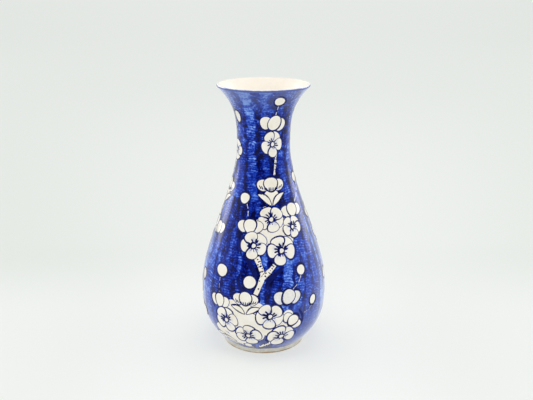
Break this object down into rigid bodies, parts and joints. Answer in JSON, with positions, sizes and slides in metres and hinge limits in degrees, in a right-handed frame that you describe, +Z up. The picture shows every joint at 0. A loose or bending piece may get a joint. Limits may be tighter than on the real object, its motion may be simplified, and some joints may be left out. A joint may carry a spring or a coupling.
{
  "type": "pottery vase",
  "caption": "Pear-shaped glazed pottery vase with a narrow throat, a flared mouth and a low foot ring, hand-brushed in cobalt blue with pale blossoms.",
  "frame": {"origin": "middle of the foot, on the plane that the vase stands on", "axes": "+Z up along the vase's turning axis, -Y towards the decorated front"},
  "size_m": [0.1234, 0.1234, 0.26],
  "materials": {
    "clay": "matte fired clay, hidden under the coats",
    "bare_clay": "matte unglazed clay with a wiped edge",
    "cream_glaze": "glossy cream glaze",
    "cobalt_glaze": "glossy cobalt brushed in short strokes down the wall",
    "pale_glaze": "thin grey-cream glaze, glossy"
  },
  "bodies": {
    "root": {"clay_body": "clay", "foot_ring": "bare_clay", "outer_glaze": "cream_glaze", "cobalt_coat": "cobalt_glaze", "inner_glaze": "cream_glaze", "lip_glaze": "cream_glaze", "foot_glaze": "pale_glaze", "base_glaze": "pale_glaze"}
  },
  "joints": []
}
